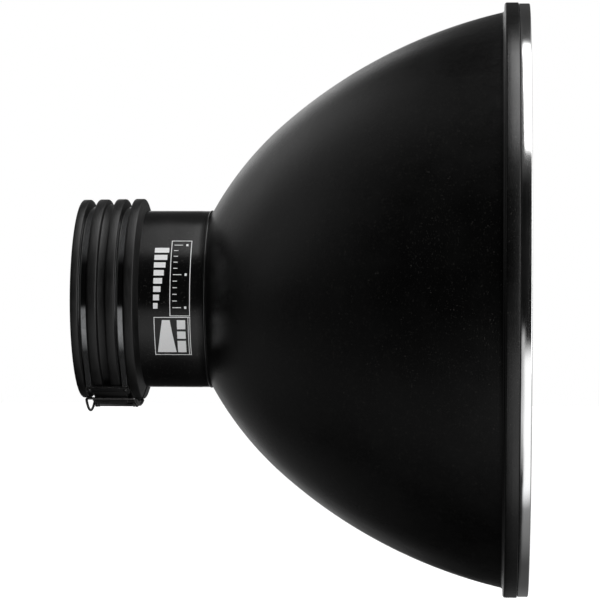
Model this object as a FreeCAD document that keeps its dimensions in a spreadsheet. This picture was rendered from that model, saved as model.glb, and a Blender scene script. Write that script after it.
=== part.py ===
"""Studio flash reflector: a spun bowl on a tubular neck, held to a flash head by a
banded rubber collar with an over-centre latch.

The axis of the reflector is the X axis and the light leaves towards +X.  The origin is on that
axis at the collar's rear face, where the flash head enters, and +Z is up.  The latch is at the
bottom.  Around the axis, a bearing is counted from straight down (-Z) towards -Y."""

import FreeCAD
import Part
import math
import os
import Sketcher
from FreeCAD import Placement, Rotation, Vector

DRIVING = {
    # clamping collar
    "grip_radius": 50.0,
    "collar_length": 37.9,
    "rib_radius": 57.7,
    "rib_radius_step": 0.18,
    "rib_corner": 0.5,
    "groove_pitch": 10.4,
    "first_groove_centre": 7.1,
    "groove_floor_width": 4.2,
    "groove_mouth_width": 5.0,
    "band_groove_radius": 52.8,
    "plain_groove_radius": 55.0,
    "collar_nose_length": 2.2,
    "collar_split_bearing": 9.0,
    "collar_split_width": 4.0,
    "socket_depth": 6.9,
    "nose_rise": 0.5,
    "seat_clearance": 0.05,
    # neck
    "neck_radius": 51.3,
    "neck_wall": 0.7,
    "neck_back": 31.1,
    "neck_front": 75.6,
    "bead_position": 34.2,
    "bead_radius": 0.9,
    # bowl outline: two tangent arcs, slopes measured from the axis
    "bowl_start": 76.86,
    "bowl_start_radius": 52.15,
    "bowl_start_slope": 60.3,
    "rear_curve": 190.5,
    "join_slope": 40.94,
    "front_curve": 290.3,
    "rim_slope": 12.7,
    "shell_wall": 1.2,
    "shell_collar_back": 68.0,
    "shoulder_length": 0.6,
    "shoulder_inner_length": 1.0,
    # liner and rim
    "liner_gap": 0.3,
    "liner_wall": 0.8,
    "liner_end_slope": 10.07,
    "rim_radius": 171.0,
    "lip_radius": 170.4,
    "rim_shoulder": 244.0,
    "black_band_front": 252.0,
    "rim_gap": 0.3,
    "rim_front": 258.3,
    # ring inside the throat
    "ring_back": 70.0,
    "ring_wall": 0.8,
    "ring_lip_angle": 1.2,
    "ring_outer_step": 1.4,
    "ring_inner_step": 0.6,
    # clamping bands
    "band_width": 3.0,
    "band_thickness": 0.6,
    "plate_radius": 58.6,
    "plate_thickness": 1.0,
    "plate_back": 5.6,
    "plate_front": 30.2,
    # latch base, hinge and lever
    "base_near_bearing": 3.0,
    "base_far_bearing": 36.0,
    "base_tab_bearing": 24.0,
    "base_rivet_bearing": 29.5,
    "hinge_offset": 1.0,
    "hinge_radius": 61.5,
    "pin_radius": 0.9,
    "pin_head_radius": 1.6,
    "pin_head_length": 0.35,
    "pin_side_play": 0.1,
    "ear_back": 8.5,
    "ear_front": 29.9,
    "ear_thickness": 1.0,
    "ear_radius": 1.5,
    "lever_back": 7.1,
    "lever_front": 31.3,
    "flange_thickness": 1.0,
    "lobe_radius": 1.6,
    "web_thickness": 0.8,
    "web_start_bearing": 4.5,
    "flange_end_bearing": 21.5,
    "web_end_bearing": 36.0,
    "web_overlap": 1.0,
    "flange_window_margin": 2.0,
    "tip_length": 6.0,
    # catch
    "catch_near_bearing": 31.0,
    "catch_neck_bearing": 24.5,
    "catch_tab_bearing": 25.2,
    "catch_rivet_bearing": 28.0,
    "hook_back": 9.0,
    "hook_front": 28.0,
    "hook_face": 18.25,
    "hook_thickness": 1.0,
    "hook_depth": 60.2,
    # bail
    "wire_radius": 0.75,
    "wire_clearance": 0.05,
    "bail_back": 4.2,
    "bail_front": 32.8,
    "bail_pivot_bearing": 15.5,
    "bail_pivot_radius": 61.5,
    "bail_end_length": 4.6,
    "bail_corner": 1.4,
    "crossbar_offset": 19.45,
    "crossbar_radius": 60.7,
    "rear_leg_bow": 6.6,
    "front_leg_bow": 3.3,
    # rivets
    "rivet_radius": 0.8,
    "rivet_head_radius": 1.4,
    "rivet_head_height": 0.8,
    "rivet_seat": 0.02,
    # how far a cut runs past the solid that it cuts
    "overcut": 2.0,
}

doc = FreeCAD.newDocument("reflector")
sheet = doc.addObject("Spreadsheet::Sheet", "Sheet")
for row, (alias, number) in enumerate(DRIVING.items(), start=1):
    sheet.set(f"A{row}", alias)
    sheet.set(f"B{row}", str(number))
    sheet.setAlias(f"B{row}", alias)
doc.recompute()


class Size:
    """A number together with the spreadsheet expression that gives it."""

    def __init__(self, value, text):
        self.value = value
        self.text = text

    @staticmethod
    def of(other):
        return other if isinstance(other, Size) else Size(float(other), str(float(other)))

    def __add__(self, other):
        other = Size.of(other)
        return Size(self.value + other.value, f"({self.text} + {other.text})")

    def __sub__(self, other):
        other = Size.of(other)
        return Size(self.value - other.value, f"({self.text} - {other.text})")

    def __mul__(self, other):
        other = Size.of(other)
        return Size(self.value * other.value, f"({self.text} * {other.text})")

    def __truediv__(self, other):
        other = Size.of(other)
        return Size(self.value / other.value, f"({self.text} / {other.text})")

    def __neg__(self):
        return Size(-self.value, f"(0 - {self.text})")

    def sine(self):
        return Size(math.sin(math.radians(self.value)), f"sin({self.text})")

    def cosine(self):
        return Size(math.cos(math.radians(self.value)), f"cos({self.text})")

    def root(self):
        return Size(math.sqrt(self.value), f"sqrt({self.text})")


class Sizes:
    """The spreadsheet's cells as Size values, by alias."""

    def __getattr__(self, alias):
        return Size(float(sheet.get(alias)), f"Sheet.{alias}")


size = Sizes()
ZERO = Size(0.0, "0")


# ---------------------------------------------------------------- sketch and feature helpers

def origin_plane(body, role):
    return next(part for part in body.Origin.OriginFeatures if part.Role == role)


def new_body(name):
    body = doc.addObject("PartDesign::Body", name)
    body.Label = name
    return body


def new_sketch(body, role, offset=None, bearing=None):
    """A sketch on one of the body's origin planes, moved along its normal by offset or turned
    about the X axis so that its normal points along a bearing."""
    sketch = body.newObject("Sketcher::SketchObject", body.Label + "_sketch")
    sketch.AttachmentSupport = [(origin_plane(body, role), "")]
    sketch.MapMode = "FlatFace"
    if offset is not None:
        sketch.setExpression("AttachmentOffset.Base.z", offset.text)
    if bearing is not None:
        sketch.AttachmentOffset = Placement(Vector(), Rotation(Vector(1, 0, 0), -bearing.value))
        sketch.setExpression("AttachmentOffset.Rotation.Angle", (-bearing).text)
    return sketch


def pin_vertex(sketch, edge, end, place):
    """Fixes one end of an edge at a place given by two sizes."""
    kinds = (("DistanceX", place[0], -2), ("DistanceY", place[1], -1))
    for kind, distance, axis in kinds:
        if abs(distance.value) < 1e-9:
            sketch.addConstraint(Sketcher.Constraint("PointOnObject", edge, end, axis))
            continue
        index = sketch.addConstraint(
            Sketcher.Constraint(kind, -1, 1, edge, end, distance.value))
        sketch.setExpression(f"Constraints[{index}]", distance.text)


def arc_between(start, end, radius, bulge):
    """The short arc of a radius from start to end, bulging to the left (+1) or right (-1)."""
    chord = end - start
    half = chord.Length / 2.0
    left = Vector(-chord.y, chord.x, 0).normalize()
    rise = math.sqrt(max(radius * radius - half * half, 0.0))
    middle = start + chord * 0.5 + left * bulge * (radius - rise)
    return Part.Arc(start, middle, end)


def outline(sketch, corners):
    """Draws a closed outline.  Each corner is (across, up) or (across, up, radius, bulge), where
    the last two say that the edge from this corner to the next is an arc.  A half circle lies
    level, so its centre's height is fixed in place of its radius."""
    points = [Vector(corner[0].value, corner[1].value, 0) for corner in corners]
    edges = []
    for number, corner in enumerate(corners):
        start = points[number]
        end = points[(number + 1) % len(points)]
        if len(corner) == 2:
            edges.append((sketch.addGeometry(Part.LineSegment(start, end), False), False))
            continue
        arc = arc_between(start, end, corner[2].value, corner[3])
        curve = arc.toShape().Curve
        first = math.atan2(start.y - curve.Center.y, start.x - curve.Center.x)
        last = math.atan2(end.y - curve.Center.y, end.x - curve.Center.x)
        circle = Part.Circle(curve.Center, Vector(0, 0, 1), curve.Radius)
        backwards = corner[3] > 0
        span = (last, first) if backwards else (first, last)
        edge = sketch.addGeometry(Part.ArcOfCircle(circle, *span), False)
        if (end - start).Length > 1.999 * corner[2].value:
            level = Sketcher.Constraint("DistanceY", -1, 1, edge, 3, corner[1].value)
            index = sketch.addConstraint(level)
            sketch.setExpression(f"Constraints[{index}]", corner[1].text)
        else:
            index = sketch.addConstraint(Sketcher.Constraint("Radius", edge, corner[2].value))
            sketch.setExpression(f"Constraints[{index}]", corner[2].text)
        edges.append((edge, backwards))
    for number, corner in enumerate(corners):
        edge, backwards = edges[number]
        before, before_backwards = edges[number - 1]
        begin = 2 if backwards else 1
        finish = 1 if before_backwards else 2
        sketch.addConstraint(Sketcher.Constraint("Coincident", before, finish, edge, begin))
        pin_vertex(sketch, edge, begin, corner)
    return sketch


def circles(sketch, places, radius):
    for place in places:
        circle = Part.Circle(Vector(place[0].value, place[1].value, 0), Vector(0, 0, 1), radius.value)
        edge = sketch.addGeometry(circle, False)
        index = sketch.addConstraint(Sketcher.Constraint("Radius", edge, radius.value))
        sketch.setExpression(f"Constraints[{index}]", radius.text)
        pin_vertex(sketch, edge, 3, place)
    return sketch


def revolve(body, corners):
    """Turns an outline, given as (along the axis, radius), once round the X axis."""
    sketch = outline(new_sketch(body, "XY_Plane"), corners)
    feature = body.newObject("PartDesign::Revolution", body.Label + "_revolution")
    feature.Profile = sketch
    feature.ReferenceAxis = (sketch, ["H_Axis"])
    feature.Angle = 360
    doc.recompute()
    return feature


def pad(body, corners, back, front):
    """Extrudes an outline, given as (Y, Z), along X from back to front."""
    sketch = outline(new_sketch(body, "YZ_Plane", offset=back), corners)
    feature = body.newObject("PartDesign::Pad", body.Label + "_pad")
    feature.Profile = sketch
    feature.setExpression("Length", (front - back).text)
    doc.recompute()
    return feature


def pocket(body, sketch, length):
    """Cuts a sketch away on the side of its plane where it removes material."""
    volume = body.Shape.Volume
    feature = body.newObject("PartDesign::Pocket", body.Label + "_pocket")
    feature.Profile = sketch
    feature.setExpression("Length", length.text)
    doc.recompute()
    if body.Shape.Volume > volume - 1e-6:
        feature.Reversed = True
        doc.recompute()
    if body.Shape.Volume > volume - 1e-6:
        raise RuntimeError(f"{body.Label}: a pocket cuts nothing")
    return feature


def around(radius, bearing):
    """A place in the YZ plane at a radius and a bearing."""
    return -(radius * bearing.sine()), -(radius * bearing.cosine())


def arc_on(radius, bearing, bulge):
    """A corner from which the outline follows a circle about the axis."""
    return (*around(radius, bearing), radius, bulge)


def bowl_place(inset, slope):
    """A place on the bowl's outline, moved in from its outer face by inset.  Rear of the join
    the rear curve is followed, and in front of it the front curve."""
    start = size.bowl_start_slope
    join = size.join_slope
    along = size.bowl_start + size.rear_curve * start.sine()
    up = size.bowl_start_radius - size.rear_curve * start.cosine()
    curve = size.rear_curve
    if slope.value < join.value:
        along = along - (size.rear_curve - size.front_curve) * join.sine()
        up = up + (size.rear_curve - size.front_curve) * join.cosine()
        curve = size.front_curve
    reach = curve - inset
    return along - reach * slope.sine(), up + reach * slope.cosine()


# ---------------------------------------------------------------- collar and neck

GROOVES = ("band_groove_radius", "plain_groove_radius", "band_groove_radius")


def groove_centre(number):
    return size.first_groove_centre + size.groove_pitch * number


def make_collar_sleeve():
    """Moulded rubber collar: four ribs, two band grooves and one plain groove, split once."""
    body = new_body("collar_sleeve")
    corner = size.rib_corner
    socket_radius = size.neck_radius + size.seat_clearance
    bead = size.bead_radius + size.seat_clearance
    corners = [(ZERO, size.grip_radius), (ZERO, size.rib_radius - corner), (corner, size.rib_radius)]
    rib = size.rib_radius
    for number, floor_name in enumerate(GROOVES):
        centre = groove_centre(number)
        floor = getattr(size, floor_name)
        mouth = size.groove_mouth_width / 2
        half_floor = size.groove_floor_width / 2
        corners.append((centre - mouth - corner, rib))
        corners.append((centre - mouth, rib - corner))
        corners.append((centre - half_floor, floor))
        corners.append((centre + half_floor, floor))
        rib = rib + size.rib_radius_step
        corners.append((centre + mouth, rib - corner))
        corners.append((centre + mouth + corner, rib))
    nose = size.collar_length - size.collar_nose_length
    corners.append((nose, rib))
    corners.append((size.collar_length, size.neck_radius + size.nose_rise))
    corners.append((size.collar_length, socket_radius))
    corners.append((size.bead_position + bead, socket_radius, bead, -1))
    corners.append((size.bead_position - bead, socket_radius))
    corners.append((size.collar_length - size.socket_depth, socket_radius))
    corners.append((size.collar_length - size.socket_depth, size.grip_radius))
    revolve(body, corners)
    half = size.collar_split_width / 2
    sketch = new_sketch(body, "XY_Plane", bearing=size.collar_split_bearing)
    back = -size.overcut
    front = size.collar_length + size.overcut
    outline(sketch, [(back, -half), (front, -half), (front, half), (back, half)])
    pocket(body, sketch, size.rib_radius + size.overcut)
    return body


def make_neck_tube():
    """Thin tube with a rolled bead that keys into the collar."""
    body = new_body("neck_tube")
    outer = size.neck_radius
    inner = outer - size.neck_wall
    revolve(body, [
        (size.neck_back, inner),
        (size.neck_back, outer),
        (size.bead_position - size.bead_radius, outer, size.bead_radius, 1),
        (size.bead_position + size.bead_radius, outer),
        (size.neck_front, outer),
        (size.neck_front, inner),
    ])
    return body


# ---------------------------------------------------------------- bowl

def make_bowl_shell():
    """Black spun bowl with a rear collar inside the neck and a stepped band at the rim."""
    body = new_body("bowl_shell")
    wall = size.shell_wall
    collar_outer = size.neck_radius - size.neck_wall - size.seat_clearance
    collar_inner = collar_outer - wall
    shoulder = size.neck_front + size.seat_clearance
    start = size.bowl_start_slope
    join = size.join_slope
    end = size.rim_slope
    band_inner = size.rim_radius - wall
    revolve(body, [
        (size.shell_collar_back, collar_inner),
        (size.shell_collar_back, collar_outer),
        (shoulder, collar_outer),
        (shoulder, size.neck_radius),
        (shoulder + size.shoulder_length, size.neck_radius),
        (*bowl_place(ZERO, start), size.rear_curve, 1),
        (*bowl_place(ZERO, join), size.front_curve, 1),
        bowl_place(ZERO, end),
        (size.rim_shoulder, size.rim_radius),
        (size.black_band_front, size.rim_radius),
        (size.black_band_front, band_inner),
        (size.rim_shoulder + wall, band_inner),
        (*bowl_place(wall, end), size.front_curve - wall, -1),
        (*bowl_place(wall, join), size.rear_curve - wall, -1),
        bowl_place(wall, start),
        (shoulder + size.shoulder_inner_length, collar_inner),
    ])
    return body


def make_inner_reflector():
    """Bright liner with a lip turned out over the front of the rim."""
    body = new_body("inner_reflector")
    outer = size.shell_wall + size.liner_gap
    inner = outer + size.liner_wall
    start = size.bowl_start_slope
    join = size.join_slope
    end = size.liner_end_slope
    lip_inner = size.lip_radius - size.liner_wall
    lip_back = size.black_band_front + size.rim_gap
    revolve(body, [
        (*bowl_place(outer, start), size.rear_curve - outer, 1),
        (*bowl_place(outer, join), size.front_curve - outer, 1),
        bowl_place(outer, end),
        (size.rim_front - size.liner_wall, lip_inner),
        (lip_back, lip_inner),
        (lip_back, size.lip_radius),
        (size.rim_front, size.lip_radius),
        (size.rim_front, bowl_place(inner, end)[1]),
        (*bowl_place(inner, end), size.front_curve - inner, -1),
        (*bowl_place(inner, join), size.rear_curve - inner, -1),
        bowl_place(inner, start),
    ])
    return body


def make_throat_ring():
    """Ring inside the throat whose lip holds the rear edge of the liner."""
    body = new_body("throat_ring")
    outer = (size.neck_radius - size.neck_wall - size.seat_clearance
             - size.shell_wall - size.seat_clearance)
    inner = outer - size.ring_wall
    under = size.shell_wall + size.liner_gap + size.liner_wall + size.seat_clearance
    start = size.bowl_start_slope
    lip = start - size.ring_lip_angle
    rear = bowl_place(under, start)[0]
    revolve(body, [
        (size.ring_back, inner),
        (size.ring_back, outer),
        (rear - size.ring_outer_step, outer),
        (*bowl_place(under, start), size.rear_curve - under, 1),
        bowl_place(under, lip),
        (*bowl_place(under + size.ring_wall, lip), size.rear_curve - under - size.ring_wall, -1),
        bowl_place(under + size.ring_wall, start),
        (rear - size.ring_inner_step, inner),
    ])
    return body


# ---------------------------------------------------------------- bands and latch plates

BAND_GROOVES = (0, 2)


def rivet_holes(body, bearing, numbers=BAND_GROOVES):
    """Holes along a bearing, over the middle of the grooves with these numbers."""
    sketch = new_sketch(body, "XY_Plane", bearing=bearing)
    places = [(groove_centre(number), ZERO) for number in numbers]
    circles(sketch, places, size.rivet_radius)
    pocket(body, sketch, size.plate_radius + size.plate_thickness + size.overcut)


def leave_bearing(radius, bearing):
    """How far round the band's straight run reaches between its groove and the plate."""
    ratio = radius / (size.plate_radius - size.band_thickness)
    turn = Size(math.degrees(math.acos(ratio.value)), f"(acos({ratio.text}) / 1deg)")
    return bearing + turn


def make_band(name, number):
    """Steel strip in a groove, whose ends rise along straight runs to tabs below the plates."""
    body = new_body(name)
    inner = size.band_groove_radius
    outer = inner + size.band_thickness
    tab_outer = size.plate_radius
    tab_inner = tab_outer - size.band_thickness
    near_tab, near_end = size.catch_tab_bearing, size.catch_near_bearing
    far_tab, far_end = -size.base_tab_bearing, -size.base_far_bearing
    near_leave = leave_bearing(inner, near_end)
    far_leave = -leave_bearing(inner, size.base_far_bearing)
    top = Size(180.0, "180")
    corners = [
        arc_on(tab_outer, near_tab, 1),
        around(tab_outer, near_end),
        arc_on(outer, near_leave, 1),
        arc_on(outer, top, 1),
        around(outer, far_leave),
        arc_on(tab_outer, far_end, 1),
        around(tab_outer, far_tab),
        arc_on(tab_inner, far_tab, -1),
        around(tab_inner, far_end),
        arc_on(inner, far_leave, -1),
        arc_on(inner, -top, -1),
        around(inner, near_leave),
        arc_on(tab_inner, near_end, -1),
        around(tab_inner, near_tab),
    ]
    centre = groove_centre(number)
    half = size.band_width / 2
    pad(body, corners, centre - half, centre + half)
    rivet_holes(body, size.catch_rivet_bearing, (number,))
    rivet_holes(body, -size.base_rivet_bearing, (number,))
    return body


def plate_outline(near, far):
    """Outline of a plate that follows the ribs, from a near bearing to a far one."""
    outer = size.plate_radius + size.plate_thickness
    return [
        arc_on(outer, near, -1),
        around(outer, far),
        arc_on(size.plate_radius, far, 1),
        around(size.plate_radius, near),
    ]


def hinge_place():
    across = size.hinge_offset
    depth = (size.hinge_radius * size.hinge_radius - across * across).root()
    return across, -depth


def make_latch_base():
    """Plate on the far side of the split, with two ears for the lever's pin."""
    body = new_body("latch_base")
    pad(body, plate_outline(size.base_near_bearing, -size.base_far_bearing),
        size.plate_back, size.plate_front)
    across, down = hinge_place()
    foot = -(size.plate_radius + size.plate_thickness / 2)
    left = across - size.ear_radius
    right = across + size.ear_radius
    ear = [
        (left, foot),
        (left, down, size.ear_radius, -1),
        (across, down - size.ear_radius, size.ear_radius, -1),
        (right, down),
        (right, foot),
    ]
    pad(body, ear, size.ear_back, size.ear_back + size.ear_thickness)
    pad(body, ear, size.ear_front - size.ear_thickness, size.ear_front)
    sketch = new_sketch(body, "YZ_Plane", offset=size.ear_front + size.overcut)
    circles(sketch, [(across, down)], size.pin_radius)
    pocket(body, sketch, size.ear_front - size.ear_back + size.overcut * 2)
    rivet_holes(body, -size.base_rivet_bearing)
    return body


def make_catch_plate():
    """Plate on the near side of the split, with an upright lip that the crossbar pulls on."""
    body = new_body("catch_plate")
    pad(body, plate_outline(size.catch_near_bearing, size.catch_neck_bearing),
        size.plate_back, size.plate_front)
    inner = size.plate_radius
    outer = inner + size.plate_thickness
    face = -size.hook_face
    back = face + size.hook_thickness
    face_root = -(outer * outer - face * face).root()
    back_root = -(inner * inner - back * back).root()
    hook = [
        arc_on(outer, size.catch_neck_bearing, -1),
        (face, face_root),
        (face, -size.hook_depth),
        (back, -size.hook_depth),
        (back, back_root, inner, 1),
        around(inner, size.catch_neck_bearing),
    ]
    pad(body, hook, size.hook_back, size.hook_front)
    rivet_holes(body, size.catch_rivet_bearing)
    return body


def make_rivets(name, bearing):
    """Two rivets through a plate and the band tabs below it."""
    head = size.rivet_head_height
    plate_top = size.plate_radius + size.plate_thickness
    seat = size.plate_radius - size.band_thickness - size.rivet_seat
    spans = (
        ("shank", size.rivet_radius, seat, plate_top),
        ("outer_head", size.rivet_head_radius, plate_top, plate_top + head),
        ("inner_head", size.rivet_head_radius, seat - head, seat),
    )
    rivets = []
    for number in BAND_GROOVES:
        pieces = []
        for part, radius, low, high in spans:
            piece = doc.addObject("Part::Cylinder", f"{name}_{part}_{number}")
            piece.setExpression("Radius", radius.text)
            piece.setExpression("Height", (high - low).text)
            across, down = around(low, bearing)
            turn = Rotation(Vector(1, 0, 0), 180 - bearing.value)
            piece.Placement = Placement(Vector(0, 0, 0), turn)
            piece.setExpression("Placement.Base.x", groove_centre(number).text)
            piece.setExpression("Placement.Base.y", across.text)
            piece.setExpression("Placement.Base.z", down.text)
            pieces.append(piece)
        rivet = doc.addObject("Part::MultiFuse", f"{name}_{number}")
        rivet.Shapes = pieces
        rivets.append(rivet)
    group = doc.addObject("Part::Compound", name)
    group.Links = rivets
    group.Label = name
    doc.recompute()
    return group


def make_lever_pin():
    """Hinge pin with a formed head at each end."""
    body = new_body("lever_pin")
    across, down = hinge_place()
    shank_back = size.lever_back - size.pin_side_play
    shank_front = size.lever_front + size.pin_side_play
    for radius, back, front in (
        (size.pin_radius, shank_back, shank_front),
        (size.pin_head_radius, shank_back - size.pin_head_length, shank_back),
        (size.pin_head_radius, shank_front, shank_front + size.pin_head_length),
    ):
        sketch = circles(new_sketch(body, "YZ_Plane", offset=back), [(across, down)], radius)
        feature = body.newObject("PartDesign::Pad", "lever_pin_pad")
        feature.Profile = sketch
        feature.setExpression("Length", (front - back).text)
        doc.recompute()
    return body


def make_latch_lever():
    """Channel-shaped lever: two side flanges hinged on the pin, a web and a plain tip."""
    body = new_body("latch_lever")
    lobe = size.lobe_radius
    outer = size.hinge_radius + lobe
    inner = size.hinge_radius - lobe
    web_inner = outer - size.web_thickness
    across, down = hinge_place()
    turn = Size(math.degrees(math.asin(across.value / size.hinge_radius.value)),
                f"(asin({across.text} / {size.hinge_radius.text}) / 1deg)")
    hinge = -turn
    end = -size.flange_end_bearing
    heel = (across - lobe * hinge.cosine(), down + lobe * hinge.sine())
    pad(body, [
        arc_on(outer, hinge, -1),
        around(outer, end),
        arc_on(inner, end, 1),
        (*around(inner, hinge), lobe, -1),
        (*heel, lobe, -1),
    ], size.lever_back, size.lever_front)
    tail = -size.web_end_bearing
    tip_outer = around(outer, tail)
    tip_inner = around(web_inner, tail)
    run_across = size.tip_length * tail.cosine()
    run_up = size.tip_length * tail.sine()
    pad(body, [
        arc_on(outer, end + size.web_overlap, -1),
        tip_outer,
        (tip_outer[0] + run_across, tip_outer[1] - run_up),
        (tip_inner[0] + run_across, tip_inner[1] - run_up),
        arc_on(web_inner, tail, 1),
        around(web_inner, end + size.web_overlap),
    ], size.lever_back, size.lever_front)
    before = size.web_start_bearing
    margin = size.flange_window_margin
    sketch = new_sketch(body, "YZ_Plane", offset=size.lever_front - size.flange_thickness)
    outline(sketch, [
        around(inner - margin, before),
        around(outer + margin, before),
        around(outer + margin, -before),
        arc_on(web_inner, -before, -1),
        around(web_inner, end - margin),
        around(inner - margin, end - margin),
    ])
    pocket(body, sketch, size.lever_front - size.lever_back - size.flange_thickness * 2)
    for place, radius in (
        ((across, down), size.pin_radius + size.seat_clearance),
        (around(size.bail_pivot_radius, -size.bail_pivot_bearing),
         size.wire_radius + size.wire_clearance),
    ):
        sketch = new_sketch(body, "YZ_Plane", offset=size.lever_front + size.overcut)
        circles(sketch, [place], radius)
        pocket(body, sketch, size.lever_front - size.lever_back + size.overcut * 2)
    return body


def leg_path(along, pivot, crossbar, corner, bow):
    """One bowed leg in its YZ plane: the points where it starts, is lowest and ends, and the
    directions at its start and end.  The arc's end tangents pass through pivot and crossbar."""
    middle = (pivot + crossbar) * 0.5
    chord = crossbar - pivot
    half = chord.Length / 2.0
    inward = Vector(1, 0, 0).cross(chord).normalize()
    if inward.z < 0:
        inward = inward * -1
    depth = (half * half - corner * corner - bow * bow) / (2 * bow)
    radius = depth + bow
    centre = middle + inward * depth
    turn = math.atan2(corner, radius)

    def touch(point, away):
        spoke = (point - centre).normalize()
        side = (away - point)
        side = (side - spoke * side.dot(spoke)).normalize()
        return centre + (spoke * math.cos(turn) + side * math.sin(turn)) * radius

    start = touch(pivot, crossbar)
    end = touch(crossbar, pivot)
    lowest = centre - inward * radius
    shift = Vector(along, 0, 0)
    return start + shift, lowest + shift, end + shift


def bend(corner_point, before, after, radius):
    """A quarter-turn arc that rounds a corner between two square directions."""
    start = corner_point - before * radius
    end = corner_point + after * radius
    centre = start + after * radius
    middle = centre + (corner_point - centre).normalize() * radius
    return Part.Arc(start, middle, end), start, end


def make_latch_bail():
    """Bent wire: two ends that turn into the lever, two bowed legs and a straight crossbar."""
    values = {alias: float(sheet.get(alias)) for alias in DRIVING}
    corner = values["bail_corner"]
    bearing = math.radians(-values["bail_pivot_bearing"])
    pivot_radius = values["bail_pivot_radius"]
    pivot = Vector(0, -pivot_radius * math.sin(bearing), -pivot_radius * math.cos(bearing))
    offset = values["crossbar_offset"]
    crossbar = Vector(0, -offset, -math.sqrt(values["crossbar_radius"] ** 2 - offset ** 2))
    back = values["bail_back"]
    front = values["bail_front"]
    axis = Vector(1, 0, 0)
    rear = leg_path(back, pivot, crossbar, corner, values["rear_leg_bow"])
    fore = leg_path(front, pivot, crossbar, corner, values["front_leg_bow"])
    corners = (
        (pivot + axis * back, axis * -1, rear[0]),
        (crossbar + axis * back, rear[2], axis),
        (crossbar + axis * front, axis, fore[2]),
        (pivot + axis * front, fore[0], axis * -1),
    )
    bends = []
    for place, before, after in corners:
        incoming = before if before.Length < 1.5 else (place - before).normalize()
        outgoing = after if after.Length < 1.5 else (after - place).normalize()
        bends.append(bend(place, incoming, outgoing, corner))
    reach = axis * values["bail_end_length"]
    edges = [
        Part.LineSegment(pivot + axis * back + reach, bends[0][1]),
        bends[0][0],
        Part.Arc(*rear),
        bends[1][0],
        Part.LineSegment(bends[1][2], bends[2][1]),
        bends[2][0],
        Part.Arc(fore[2], fore[1], fore[0]),
        bends[3][0],
        Part.LineSegment(bends[3][2], pivot + axis * front - reach),
    ]
    path = Part.Wire([edge.toShape() for edge in edges])
    ring = Part.Circle(pivot + axis * back + reach, axis, values["wire_radius"])
    section = Part.Wire([ring.toShape()])
    shape = path.makePipeShell([section], True, False)
    bail = doc.addObject("Part::Feature", "latch_bail")
    bail.Shape = shape
    bail.Placement = Placement()
    bail.Label = "latch_bail"
    expected = math.pi * values["wire_radius"] ** 2 * path.Length
    if abs(shape.Volume / expected - 1) > 0.01:
        raise RuntimeError("the bail's volume is not its section times its length")
    return bail


subparts = [
    make_collar_sleeve(),
    make_neck_tube(),
    make_bowl_shell(),
    make_inner_reflector(),
    make_throat_ring(),
    make_band("rear_band", 0),
    make_band("front_band", 2),
    make_latch_base(),
    make_catch_plate(),
    make_rivets("base_rivets", -size.base_rivet_bearing),
    make_rivets("catch_rivets", size.catch_rivet_bearing),
    make_lever_pin(),
    make_latch_lever(),
    make_latch_bail(),
]
doc.recompute()

faults = [thing.Name for thing in doc.Objects if {"Invalid", "Error"} & set(thing.State)]
for subpart in subparts:
    if subpart.Shape.isNull() or not subpart.Shape.isValid():
        faults.append(subpart.Label)
if faults:
    raise RuntimeError(f"failed: {faults}")

os.makedirs("parts", exist_ok=True)
for subpart in subparts:
    subpart.Shape.exportStep(f"parts/{subpart.Label}.step")
    box = subpart.Shape.BoundBox
    print(f"{subpart.Label}: {len(subpart.Shape.Solids)} solids, {subpart.Shape.Volume:.0f} mm3, "
          f"X {box.XMin:.2f} to {box.XMax:.2f}, Y {box.YMin:.2f} to {box.YMax:.2f}, "
          f"Z {box.ZMin:.2f} to {box.ZMax:.2f}")
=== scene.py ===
"""Studio flash reflector: the looks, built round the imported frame.

The axis is X, the light leaves towards +X and +Z is up.  Lengths are metres; MM turns
millimetres into metres.  An angle round the axis is a bearing: 0 is straight down, 90 is
towards -Y, 180 is up."""

import math

import bmesh
import bpy
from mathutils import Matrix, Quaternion, Vector


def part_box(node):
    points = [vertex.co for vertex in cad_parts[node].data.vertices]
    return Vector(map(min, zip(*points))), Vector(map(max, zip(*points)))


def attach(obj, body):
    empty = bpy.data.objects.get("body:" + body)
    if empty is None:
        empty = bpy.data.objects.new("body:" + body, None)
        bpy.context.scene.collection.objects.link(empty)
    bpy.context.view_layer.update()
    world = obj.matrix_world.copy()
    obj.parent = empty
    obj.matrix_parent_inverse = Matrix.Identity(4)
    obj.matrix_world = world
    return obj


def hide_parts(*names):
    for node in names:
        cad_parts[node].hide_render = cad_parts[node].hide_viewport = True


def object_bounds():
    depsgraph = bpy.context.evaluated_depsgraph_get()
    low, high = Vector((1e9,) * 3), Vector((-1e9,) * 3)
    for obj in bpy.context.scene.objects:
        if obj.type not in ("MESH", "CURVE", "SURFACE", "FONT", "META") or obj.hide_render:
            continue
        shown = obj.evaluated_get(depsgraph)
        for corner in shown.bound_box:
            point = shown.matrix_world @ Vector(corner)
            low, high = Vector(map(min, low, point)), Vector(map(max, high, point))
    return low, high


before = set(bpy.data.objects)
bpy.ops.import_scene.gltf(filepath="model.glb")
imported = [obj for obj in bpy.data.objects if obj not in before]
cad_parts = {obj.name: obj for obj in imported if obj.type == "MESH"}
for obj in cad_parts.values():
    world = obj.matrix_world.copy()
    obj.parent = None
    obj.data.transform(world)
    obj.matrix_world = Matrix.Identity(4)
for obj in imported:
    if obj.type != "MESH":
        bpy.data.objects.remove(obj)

MM = 0.001
cad_low, cad_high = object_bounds()
scene = bpy.context.scene

# ------------------------------------------------------------------------- sizes from the frame

collar_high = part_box("collar_sleeve")[1]
neck_low, neck_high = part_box("neck_tube")
shell_low, shell_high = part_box("bowl_shell")
liner_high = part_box("inner_reflector")[1]
ring_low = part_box("throat_ring")[0]

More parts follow.
